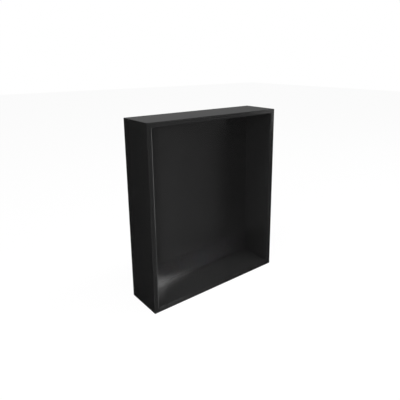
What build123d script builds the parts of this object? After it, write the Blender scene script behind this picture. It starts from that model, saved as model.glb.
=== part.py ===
from build123d import *
import os

# A shower niche insert, cast in one piece: a thick-walled box with an open front, set into the
# wall of a shower to hold bottles. Sizes are in millimetres. The origin is the middle of the
# underside, +X is to the right, +Y goes into the wall and +Z is up, so the mouth faces -Y.

# Driving dimensions
WIDTH = 304.8             # outside, from side to side: 12 inches
HEIGHT = 355.6            # outside, from underside to top: 14 inches
DEPTH = 82.55             # outside, from rim to back: 3 1/4 inches
SIDE_WALL = 9.525         # left and right walls: 3/8 inch
END_WALL = 9.525          # top wall and floor: 3/8 inch
BACK_PANEL = 9.525        # closes the pocket at the back: 3/8 inch
OUTER_EDGE_ROUND = 1.0    # every outside edge, eased so that it doesn't chip
LIP_ROUND = 2.0           # inner edge of the rim, where hands and bottles pass
POCKET_CORNER_ROUND = 0.5 # tight inside corners, where the walls meet each other and the back panel

# Pocket that the walls leave
mouth_width = WIDTH - 2 * SIDE_WALL
mouth_height = HEIGHT - 2 * END_WALL
pocket_depth = DEPTH - BACK_PANEL

with BuildPart() as niche_body:
    # Outside block, standing on its underside
    with BuildSketch(Plane.XY):
        Rectangle(WIDTH, DEPTH)
    extrude(amount=HEIGHT)
    fillet(niche_body.edges(), radius=OUTER_EDGE_ROUND)

    # Pocket, sunk from the front as far as the back panel
    with BuildSketch(Plane.XZ.offset(DEPTH / 2)):
        with Locations((0, END_WALL)):
            Rectangle(mouth_width, mouth_height, align=(Align.CENTER, Align.MIN))
    extrude(amount=-pocket_depth, mode=Mode.SUBTRACT)

    # Inside corners, from the rim to the back panel and around it
    mouth_edges, corner_edges, panel_edges = niche_body.edges(Select.LAST).group_by(Axis.Y)
    fillet(corner_edges + panel_edges, radius=POCKET_CORNER_ROUND)

    # Rounded lip of the mouth, all the way around the flat rim
    rim = niche_body.faces().sort_by(Axis.Y)[0]
    fillet(rim.inner_wires().edges(), radius=LIP_ROUND)

niche_body.part.label = "niche_body"

os.makedirs("parts", exist_ok=True)
export_step(niche_body.part, "parts/niche_body.step")
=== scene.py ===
import math
from typing import NamedTuple

import bpy
from mathutils import Matrix, Vector


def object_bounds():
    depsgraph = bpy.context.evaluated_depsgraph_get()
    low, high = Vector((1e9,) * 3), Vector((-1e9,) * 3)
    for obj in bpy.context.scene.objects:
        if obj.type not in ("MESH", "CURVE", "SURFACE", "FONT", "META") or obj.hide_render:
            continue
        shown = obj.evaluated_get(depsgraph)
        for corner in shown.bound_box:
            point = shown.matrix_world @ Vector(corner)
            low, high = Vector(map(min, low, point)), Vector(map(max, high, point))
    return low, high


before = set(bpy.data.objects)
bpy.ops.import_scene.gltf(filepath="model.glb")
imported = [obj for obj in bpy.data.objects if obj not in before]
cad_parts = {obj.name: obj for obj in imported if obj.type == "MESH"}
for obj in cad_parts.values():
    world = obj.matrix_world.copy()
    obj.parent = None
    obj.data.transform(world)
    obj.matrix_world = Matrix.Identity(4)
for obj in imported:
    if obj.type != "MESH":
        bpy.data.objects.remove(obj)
CAD_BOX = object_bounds()

bl_info = {
    "name": "Shower niche insert",
    "version": (1, 0, 0),
    "blender": (4, 5, 0),
    "location": "3D View > Sidebar > Niche",
    "description": "Finishes a cast shower niche insert and sets it in a small studio",
    "category": "Object",
}

MM = 0.001
NICHE_SIZE = CAD_BOX[1] - CAD_BOX[0]
MIDDLE = (CAD_BOX[0] + CAD_BOX[1]) / 2
WALL = 9.525 * MM             # walls, floor and back panel: 3/8 inch
FILLER_LEVELS = (0.35, 0.75)  # noise levels at which the filler starts to show and shows in full
NOISE_LEVELS = (0.3, 0.7)     # levels that a noise texture stays between nearly everywhere
SENSOR_WIDTH = 36.0           # of the camera, in millimetres
RING_SIDES = 96               # enough for a ring to look round


def on_back_wall(across, up):
    """Point on the pocket's back wall, so many millimetres right of its middle and up from its foot."""
    foot = Vector((MIDDLE.x, CAD_BOX[1].y - WALL, CAD_BOX[0].z + WALL))
    return foot + Vector((across, 0.0, up)) * MM


class SoftBox(NamedTuple):
    """A soft box, which lights the matt colour of the niche and leaves no glint on it.

    Seen from the point that it is aimed at, its bearing and height say where it hangs, and across and tall
    how large it looks, all in degrees. Its distance is in metres, and its glow is its brightness, where 1 is
    white. A grid can narrow its light to a spread in degrees, which takes none of it away.
    """
    name: str
    bearing: float
    height: float
    across: float
    tall: float
    glow: float
    aim: Vector = MIDDLE
    spread: float = 180.0
    distance: float = 2.0


class Strip(NamedTuple):
    """A strip lamp with a grid on it, which the pocket mirrors twice, in its floor and its back wall.

    Its beam meets the edge between those two, so far across from the middle. Lengths are in millimetres, the
    spread is in degrees, and the glow is the brightness along the beam, where 1 is white. Each strip has a
    reach of its own, because lamps in one plane would hide each other.
    """
    name: str
    across: float
    long: float
    thick: float
    glow: float
    reach: float
    spread: float = 18.0


class Ring(NamedTuple):
    """A far ring of glowing card round the niche, which the niche mirrors, from one height to another in
    degrees.

    Its shades are pairs of a bearing in degrees and a brightness, where 1 is white, and they blend between.
    Its radius is in metres.
    """
    name: str
    low: float
    high: float
    shades: tuple
    radius: float = 20.0


# The last two light the foot of the pocket, where its back wall mirrors its floor and not the rings
SOFT_BOXES = (
    SoftBox("left_box", bearing=-62, height=12, across=24, tall=36, glow=7.2),
    SoftBox("overhead_box", bearing=-10, height=76, across=60, tall=12, glow=19.5),
    SoftBox("right_box", bearing=55, height=30, across=24, tall=40, glow=2.2),
    SoftBox("pocket_box", bearing=0, height=30, across=7.2, tall=2.3, glow=0.45,
            aim=on_back_wall(17, 4.5), spread=1.2),
    SoftBox("foot_box", bearing=0, height=30, across=11, tall=2, glow=1.15,
            aim=on_back_wall(-30, 26.5), spread=1.2, distance=1.0),
)

# Together they draw a glow at the left end of the pocket's lower back edge, which fans out and fades
STRIPS = (
    Strip("long_strip", across=-110, long=220, thick=16, glow=27, reach=340),
    Strip("short_strip", across=-125, long=170, thick=28, glow=15, reach=360),
    Strip("fan_strip", across=-115, long=80, thick=90, glow=10, reach=380),
)

# From the camera's place the niche mirrors the rings at these bearings: its top at 134 to 153, its left
# side at -154 to -150, its rim and back wall at 29 to 48, and its left lip at 30 to 90. By way of a second
# wall, the right of the pocket mirrors them at -47 to -42, and its floor mirrors the high ring at 27 to 45.
# The three rings about eye level share their shades on the left, from straight behind to the front.
LEFT_SHADES = (
    (-180, 0.3), (-170, 0.3), (-160, 0.0), (-145, 0.0), (-120, 0.3), (-70, 0.3), (-54, 0.1),
    (-50, 1.2), (-40, 1.2), (-36, 0.1), (-20, 0.2), (18, 0.2), (26, 0.0))
RINGS = (
    Ring("under_ring", low=-85, high=-36, shades=((0, 0.3),)),
    Ring("low_ring", low=-36, high=-24, shades=(
        *LEFT_SHADES,
        (29.5, 0.1), (31, 0.5), (33, 0.38), (35, 0.28), (37, 0.22), (39, 0.18), (41, 0.0),
        (64, 0.0), (68, 5.0), (77, 5.0), (81, 0.3), (142, 0.2), (180, 0.3))),
    Ring("middle_ring", low=-24, high=-9, shades=(
        *LEFT_SHADES,
        (29.5, 0.12), (31, 0.56), (33, 0.44), (35, 0.35), (37, 0.3), (39, 0.27), (41, 0.03),
        (47, 0.0), (53, 0.3), (57, 5.0), (76, 5.0), (80, 0.3), (142, 0.2), (180, 0.3))),
    Ring("level_ring", low=-9, high=12, shades=(
        *LEFT_SHADES,
        (29.5, 0.2), (31, 0.3), (38, 0.27), (41, 0.24), (43.5, 0.3), (45.5, 0.6), (47, 0.9),
        (56, 1.2), (62, 0.3), (121, 0.13), (142, 0.175), (152, 0.19), (180, 0.3))),
    Ring("high_ring", low=12, high=40, shades=((10, 0.3), (20, 1.2), (36, 1.2), (42, 0.2), (50, 0.3))),
    Ring("upper_ring", low=40, high=85, shades=((0, 0.2),)),
)


def linear(hex_colour):
    """Turns an sRGB hex colour, such as #1e1e1e, into the linear values that shaders work in."""
    shares = [int(hex_colour[i:i + 2], 16) / 255 for i in (1, 3, 5)]
    return [s / 12.92 if s <= 0.04045 else ((s + 0.055) / 1.055) ** 2.4 for s in shares]


def grey(brightness):
    """Opaque grey of a linear brightness, where 1 is white."""
    return (brightness, brightness, brightness, 1.0)


def add_node(tree, kind, links=None, values=None, **settings):
    """Adds a node to a tree, with its settings, the values of its sockets and the links into them."""
    node = tree.nodes.new(kind)
    for name, value in settings.items():
        setattr(node, name, value)
    for socket, value in (values or {}).items():
        node.inputs[socket].default_value = value
    for socket, output in (links or {}).items():
        tree.links.new(output, node.inputs[socket])
    return node


def new_material(name):
    """Makes a node material with an empty tree and returns it with that tree."""
    material = bpy.data.materials.new(name)
    material.use_nodes = True
    material.node_tree.nodes.clear()
    return material, material.node_tree


def toward(bearing, height):
    """Direction from the niche, bearing degrees right of straight ahead and height degrees above level."""
    turn, rise = math.radians(bearing), math.radians(height)
    return Vector((math.sin(turn) * math.cos(rise), -math.cos(turn) * math.cos(rise), math.sin(rise)))


def cast_acrylic(finish):
    """Cast acrylic resin with a mineral filler, tinted black right through and sanded to a satin.

    The eye gets a near-black, neutral body under a soft reflection that grows at a slant. Fine grit from
    sanding breaks the reflection up close, and the casting's slow waves bend it a little.
    """
    material, tree = new_material("cast_acrylic_satin_black")
    place = add_node(tree, "ShaderNodeTexCoord").outputs["Object"]

    # Filler: grains of mineral a little paler than the resin
    filler = add_node(tree, "ShaderNodeTexNoise", {"Vector": place},
                      {"Scale": 1 / finish.filler_grain, "Detail": 2.0, "Roughness": 0.6})
    tint = add_node(tree, "ShaderNodeValToRGB", {"Fac": filler.outputs["Fac"]})
    colours = (finish.resin_colour, finish.filler_colour)
    for stop, level, colour in zip(tint.color_ramp.elements, FILLER_LEVELS, colours):
        stop.position = level
        stop.color = [*colour, 1.0]

    # Satin: the sanding is a touch uneven from place to place
    hand = add_node(tree, "ShaderNodeTexNoise", {"Vector": place},
                    {"Scale": 1 / finish.hand_patch, "Detail": 3.0, "Roughness": 0.5})
    satin = add_node(tree, "ShaderNodeMapRange", {"Value": hand.outputs["Fac"]},
                     {"From Min": NOISE_LEVELS[0], "From Max": NOISE_LEVELS[1],
                      "To Min": finish.roughness - finish.roughness_spread,
                      "To Max": finish.roughness + finish.roughness_spread})

    # Relief: sanding grit over the slow waves of the casting
    grit = add_node(tree, "ShaderNodeTexNoise", {"Vector": place},
                    {"Scale": 1 / finish.grit, "Detail": 2.0, "Roughness": 0.5})
    grit_bump = add_node(tree, "ShaderNodeBump", {"Height": grit.outputs["Fac"]},
                         {"Strength": 1.0, "Distance": finish.grit_relief})
    wave = add_node(tree, "ShaderNodeTexNoise", {"Vector": place},
                    {"Scale": 1 / finish.wave, "Detail": 0.0})
    relief = add_node(tree, "ShaderNodeBump",
                      {"Height": wave.outputs["Fac"], "Normal": grit_bump.outputs["Normal"]},
                      {"Strength": 1.0, "Distance": finish.wave_relief})

    surface = add_node(tree, "ShaderNodeBsdfPrincipled",
                       {"Base Color": tint.outputs["Color"], "Roughness": satin.outputs["Result"],
                        "Normal": relief.outputs["Normal"]},
                       {"IOR": finish.ior, "Specular IOR Level": finish.specular})
    add_node(tree, "ShaderNodeOutputMaterial", {"Surface": surface.outputs["BSDF"]})
    return material


def seen_or_mirrored(tree):
    """1 for what is seen, straight, mirrored or through glass, and 0 for what lights a matt surface."""
    path = add_node(tree, "ShaderNodeLightPath").outputs
    either = add_node(tree, "ShaderNodeMath", {0: path["Is Camera Ray"], 1: path["Is Glossy Ray"]},
                      operation="MAXIMUM")
    return add_node(tree, "ShaderNodeMath", {0: either.outputs[0], 1: path["Is Transmission Ray"]},
                    operation="MAXIMUM").outputs[0]


def white_paper(stage):
    """Pale seamless paper, lit so evenly that it shows white, with a trace of the object's shadow."""
    material, tree = new_material("white_paper")
    seen = seen_or_mirrored(tree)
    shade = add_node(tree, "ShaderNodeMapRange", {"Value": seen},
                     {"To Min": stage.floor_bounce, "To Max": 1.0})
    paper = add_node(tree, "ShaderNodeBsdfDiffuse", {"Color": shade.outputs["Result"]})
    white = add_node(tree, "ShaderNodeEmission", values={"Color": grey(1.0), "Strength": 1.0})
    share = add_node(tree, "ShaderNodeMath", {0: seen}, {1: stage.floor_white}, operation="MULTIPLY")
    both = add_node(tree, "ShaderNodeMixShader",
                    {0: share.outputs[0], 1: paper.outputs["BSDF"], 2: white.outputs["Emission"]})
    add_node(tree, "ShaderNodeOutputMaterial", {"Surface": both.outputs["Shader"]})
    return material


def glowing_card(ring):
    """Card for the studio that glows in shades by bearing, a painted light that the niche shows only in its
    reflections.
    """
    material, tree = new_material(f"glowing_card_{ring.name}")
    place = add_node(tree, "ShaderNodeSeparateXYZ",
                     {0: add_node(tree, "ShaderNodeTexCoord").outputs["Object"]})
    ahead = add_node(tree, "ShaderNodeMath", {0: place.outputs["Y"]}, {1: -1.0}, operation="MULTIPLY")
    bearing = add_node(tree, "ShaderNodeMath", {0: place.outputs["X"], 1: ahead.outputs[0]},
                       operation="ARCTAN2")
    turn = add_node(tree, "ShaderNodeMapRange", {"Value": bearing.outputs[0]},
                    {"From Min": -math.pi, "From Max": math.pi})
    paint = add_node(tree, "ShaderNodeValToRGB", {"Fac": turn.outputs["Result"]})

    # A ramp can't be without a stop, so one of its own stays and takes the first shade
    stops = paint.color_ramp.elements
    stops.remove(stops[-1])
    stops[0].color = grey(ring.shades[0][1])
    for degrees, brightness in ring.shades:
        stops.new((degrees + 180) / 360).color = grey(brightness)

    glow = add_node(tree, "ShaderNodeEmission", {"Color": paint.outputs["Color"]}, {"Strength": 1.0})
    add_node(tree, "ShaderNodeOutputMaterial", {"Surface": glow.outputs["Emission"]})
    return material


class NicheFinish(bpy.types.PropertyGroup):
    """Colour and surface of the cast resin."""

    resin_colour: bpy.props.FloatVectorProperty(
        name="Resin", description="Colour of the resin between the grains of filler",
        subtype="COLOR", min=0.0, max=1.0, default=linear("#1c1c1c"))
    filler_colour: bpy.props.FloatVectorProperty(
        name="Filler", description="Colour of the grains of mineral filler",
        subtype="COLOR", min=0.0, max=1.0, default=linear("#202020"))
    filler_grain: bpy.props.FloatProperty(
        name="Filler grain",
        description="Width of a grain, drawn coarser than the real 0.2 mm so that it shows",
        unit="LENGTH", min=0.1 * MM, default=0.8 * MM)
    roughness: bpy.props.FloatProperty(
        name="Satin", description="Roughness of the sanded surface",
        subtype="FACTOR", min=0.0, max=1.0, default=0.10)
    roughness_spread: bpy.props.FloatProperty(
        name="Satin spread", description="How far the roughness strays either way",
        subtype="FACTOR", min=0.0, max=0.2, default=0.008)
    hand_patch: bpy.props.FloatProperty(
        name="Sanded patch", description="Width of the patches that were sanded alike",
        unit="LENGTH", min=5 * MM, default=45 * MM)
    grit: bpy.props.FloatProperty(
        name="Grit",
        description="Width of the sanding marks, drawn coarser than the real 0.1 mm so that they show",
        unit="LENGTH", min=0.1 * MM, default=0.6 * MM)
    grit_relief: bpy.props.FloatProperty(
        name="Grit relief", description="Depth of the sanding marks",
        unit="LENGTH", min=0.0, default=0.0002 * MM)
    wave: bpy.props.FloatProperty(
        name="Casting wave", description="Length of the slow waves that the mould leaves",
        unit="LENGTH", min=10 * MM, default=70 * MM)
    wave_relief: bpy.props.FloatProperty(
        name="Wave relief", description="Height of the slow waves",
        unit="LENGTH", min=0.0, default=0.02 * MM)
    ior: bpy.props.FloatProperty(
        name="IOR", description="Index of refraction of acrylic resin",
        min=1.0, max=2.0, default=1.49)
    specular: bpy.props.FloatProperty(
        name="Specular", description="Strength of the reflection: 0.5 is the full amount for the index",
        subtype="FACTOR", min=0.0, max=1.0, default=0.5)


class NicheStage(bpy.types.PropertyGroup):
    """Studio round the niche, and the camera's place in it."""

    floor_width: bpy.props.FloatProperty(
        name="Floor width", description="Width of the studio floor",
        unit="LENGTH", min=NICHE_SIZE.x, default=30 * NICHE_SIZE.z)
    floor_white: bpy.props.FloatProperty(
        name="Floor white",
        description="How much of the floor's white is even, and free of the object's shadow",
        subtype="FACTOR", min=0.0, max=1.0, default=0.96)
    floor_bounce: bpy.props.FloatProperty(
        name="Floor bounce", description="How much of its light the paper throws back on the object",
        subtype="FACTOR", min=0.0, max=1.0, default=0.5)
    light: bpy.props.FloatProperty(
        name="Light", description="Level of all the lamps together",
        min=0.0, default=1.0)
    camera_place: bpy.props.FloatVectorProperty(
        name="Camera place", description="Where the camera stands, measured from the middle of the underside",
        subtype="XYZ", unit="LENGTH", default=(-480.73 * MM, -620.5 * MM, 457.09 * MM))
    camera_turn: bpy.props.FloatProperty(
        name="Camera turn", description="How far the camera turns to the right of straight into the wall",
        subtype="ANGLE", default=math.radians(39.835))
    camera_dip: bpy.props.FloatProperty(
        name="Camera dip", description="How far the camera looks down",
        subtype="ANGLE", default=math.radians(14.108))
    camera_lens: bpy.props.FloatProperty(
        name="Lens", description=f"Focal length on a sensor {SENSOR_WIDTH:g} mm wide, in millimetres",
        min=1.0, default=36.419)
    camera_shift: bpy.props.FloatVectorProperty(
        name="Shift", description="How far the picture sits off the lens axis, as a share of its width",
        size=2, default=(-0.0490, -0.0983))


class NICHE_OT_cast_body(bpy.types.Operator):
    """Gives the cast body its satin black resin"""

    bl_idname = "niche.cast_body"
    bl_label = "Finish the cast body"

    def execute(self, context):
        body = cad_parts["niche_body"]
        body.data.materials.clear()
        body.data.materials.append(cast_acrylic(context.scene.niche_finish))
        return {"FINISHED"}


class NICHE_OT_studio(bpy.types.Operator):
    """Sets up the floor, the air, the lamps, the glowing rings of card and the camera"""

    bl_idname = "niche.studio"
    bl_label = "Set up the studio"

    def execute(self, context):
        stage = context.scene.niche_stage
        self.lay_floor(stage)
        self.light_air(context)
        for box in SOFT_BOXES:
            self.hang_soft_box(context, stage, box)
        for strip in STRIPS:
            self.hang_strip(context, stage, strip)
        for ring in RINGS:
            self.hang_ring(ring)
        self.place_camera(context, stage)
        context.scene.view_settings.view_transform = "Standard"
        return {"FINISHED"}

    def lay_floor(self, stage):
        """Lays the paper, which reflections don't see: they see the rings in its place."""
        bpy.ops.object.select_all(action="DESELECT")
        bpy.ops.mesh.primitive_plane_add(size=stage.floor_width)
        floor = bpy.context.object
        floor.name = "studio_floor"
        floor.data.materials.append(white_paper(stage))
        floor.visible_glossy = False

    def light_air(self, context):
        """Makes the air white to the eye, and leaves the light on matt surfaces to the lamps."""
        world = bpy.data.worlds.new("studio_air")
        world.use_nodes = True
        tree = world.node_tree
        tree.nodes.clear()
        air = add_node(tree, "ShaderNodeBackground", {"Strength": seen_or_mirrored(tree)},
                       {"Color": grey(1.0)})
        add_node(tree, "ShaderNodeOutputWorld", {"Surface": air.outputs["Background"]})
        context.scene.world = world

    def add_lamp(self, context, name, shape, size, spread):
        """Adds an area lamp that the camera doesn't see, and returns its object."""
        lamp = bpy.data.lights.new(name, "AREA")
        lamp.shape = shape
        lamp.size, lamp.size_y = size
        lamp.spread = math.radians(spread)
        place = bpy.data.objects.new(name, lamp)
        place.visible_camera = False
        context.scene.collection.objects.link(place)
        return place

    def hang_soft_box(self, context, stage, box):
        """Hangs a soft box that reflections don't see."""
        size = [2 * box.distance * math.tan(math.radians(angle / 2)) for angle in (box.across, box.tall)]
        place = self.add_lamp(context, box.name, "RECTANGLE", size, box.spread)
        place.data.energy = math.pi * math.prod(size) * box.glow * stage.light
        way = toward(box.bearing, box.height)
        place.location = box.aim + box.distance * way
        place.rotation_euler = way.to_track_quat("Z", "Y").to_euler()
        place.visible_glossy = False

    def hang_strip(self, context, stage, strip):
        """Hangs a strip on the line that the camera's sight takes after the pocket has mirrored it twice."""
        size = (strip.long * MM, strip.thick * MM)
        place = self.add_lamp(context, strip.name, "ELLIPSE", size, strip.spread)

        # The grid gathers the light into the beam, so less power gives the same glow there
        half = math.radians(strip.spread / 2)
        gathered = math.tan(half) / (math.tan(half) - half)
        face = math.pi / 4 * math.prod(size)
        place.data.energy = math.pi * face * strip.glow / gathered * stage.light

        # Floor and back wall turn the sight back the way it came, but for its course along their edge
        edge = on_back_wall(strip.across, 0.0)
        sight = Vector(stage.camera_place) - edge
        way = Vector((-sight.x, sight.y, sight.z)).normalized()
        along = (Vector((1.0, 0.0, 0.0)) - way.x * way).normalized()
        place.location = edge + strip.reach * MM * way
        place.rotation_euler = Matrix((along, way.cross(along), way)).transposed().to_euler()
        place.visible_diffuse = False

    def hang_ring(self, ring):
        """Hangs a ring of glowing card that only reflections see, as painted light for the niche's
        reflections.
        """
        bottom, top = (ring.radius * math.tan(math.radians(height)) for height in (ring.low, ring.high))
        bpy.ops.object.select_all(action="DESELECT")
        bpy.ops.mesh.primitive_cylinder_add(
            vertices=RING_SIDES, radius=ring.radius, depth=top - bottom, end_fill_type="NOTHING",
            location=MIDDLE + Vector((0.0, 0.0, (bottom + top) / 2)))
        card = bpy.context.object
        card.name = ring.name
        card.data.materials.append(glowing_card(ring))
        card.visible_camera = False
        card.visible_diffuse = False
        card.visible_transmission = False
        card.visible_shadow = False

    def place_camera(self, context, stage):
        """Stands the camera in its place and looks through it."""
        camera = bpy.data.objects.new("studio_camera", bpy.data.cameras.new("studio_camera"))
        context.scene.collection.objects.link(camera)
        camera.location = stage.camera_place
        camera.rotation_euler = (math.pi / 2 - stage.camera_dip, 0.0, -stage.camera_turn)
        camera.data.sensor_width = SENSOR_WIDTH
        camera.data.lens = stage.camera_lens
        camera.data.shift_x, camera.data.shift_y = stage.camera_shift
        context.scene.camera = camera


class NICHE_PT_sidebar(bpy.types.Panel):
    """Lists the steps and the values that they use"""

    bl_idname = "NICHE_PT_sidebar"
    bl_label = "Shower niche insert"
    bl_space_type = "VIEW_3D"
    bl_region_type = "UI"
    bl_category = "Niche"

    def draw(self, context):
        for group, operator in ((context.scene.niche_finish, NICHE_OT_cast_body),
                                (context.scene.niche_stage, NICHE_OT_studio)):
            box = self.layout.box()
            box.operator(operator.bl_idname)
            for name in group.__annotations__:
                box.prop(group, name)


CLASSES = (NicheFinish, NicheStage, NICHE_OT_cast_body, NICHE_OT_studio, NICHE_PT_sidebar)


def register():
    for cls in CLASSES:
        bpy.utils.register_class(cls)
    bpy.types.Scene.niche_finish = bpy.props.PointerProperty(type=NicheFinish)
    bpy.types.Scene.niche_stage = bpy.props.PointerProperty(type=NicheStage)


def unregister():
    del bpy.types.Scene.niche_stage
    del bpy.types.Scene.niche_finish
    for cls in reversed(CLASSES):
        bpy.utils.unregister_class(cls)


def main():
    """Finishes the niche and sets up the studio."""
    register()
    bpy.ops.niche.cast_body()
    bpy.ops.niche.studio()


if __name__ == "__main__":
    main()
